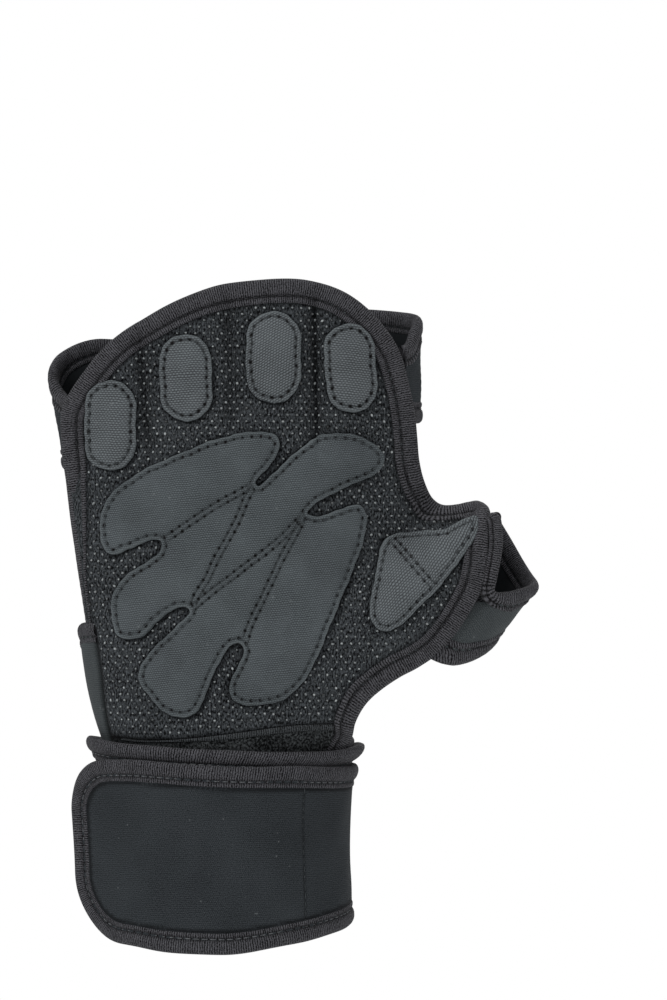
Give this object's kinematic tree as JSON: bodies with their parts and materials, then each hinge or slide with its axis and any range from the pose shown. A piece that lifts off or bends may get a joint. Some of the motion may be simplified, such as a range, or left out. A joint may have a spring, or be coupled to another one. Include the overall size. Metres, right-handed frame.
{
  "type": "weightlifting glove",
  "caption": "Fingerless training glove for a right hand, with sewn grip pads on a dotted palm, finger loops, a thumb loop and a long wrist wrap wound round the cuff.",
  "frame": {"origin": "middle of the wrist hollow, halfway up the cuff", "axes": "+Z from the wrist to the fingers, -Y out of the palm's face, +X to the thumb side"},
  "size_m": [0.1315, 0.0549, 0.1778],
  "materials": {
    "dotted_cloth": "brushed black cloth with raised clear dots",
    "grip_cloth": "coated slate grey canvas, stitched inside its edge",
    "plain_cloth": "smooth black foam-backed jersey",
    "rib_tape": "ribbed black knit tape, folded and stitched",
    "loop_cloth": "fuzzy black loop cloth"
  },
  "bodies": {
    "root": {"palm_panel": "dotted_cloth", "palm_binding": "rib_tape", "heel_patch": "loop_cloth", "grip_pad_little": "grip_cloth", "grip_pad_ring": "grip_cloth", "grip_pad_middle": "grip_cloth", "grip_pad_index": "grip_cloth", "palm_pad": "grip_cloth", "thumb_pad": "grip_cloth", "finger_band": "plain_cloth", "band_upper_binding": "rib_tape", "band_lower_binding": "rib_tape", "finger_wall_little_ring": "plain_cloth", "finger_wall_ring_middle": "plain_cloth", "finger_wall_middle_index": "plain_cloth", "thumb_loop": "plain_cloth", "thumb_loop_rim_binding": "rib_tape", "thumb_loop_inner_binding": "rib_tape", "cuff": "plain_cloth", "cuff_binding": "rib_tape", "wrist_wrap": "plain_cloth", "wrap_binding": "rib_tape"}
  },
  "joints": []
}
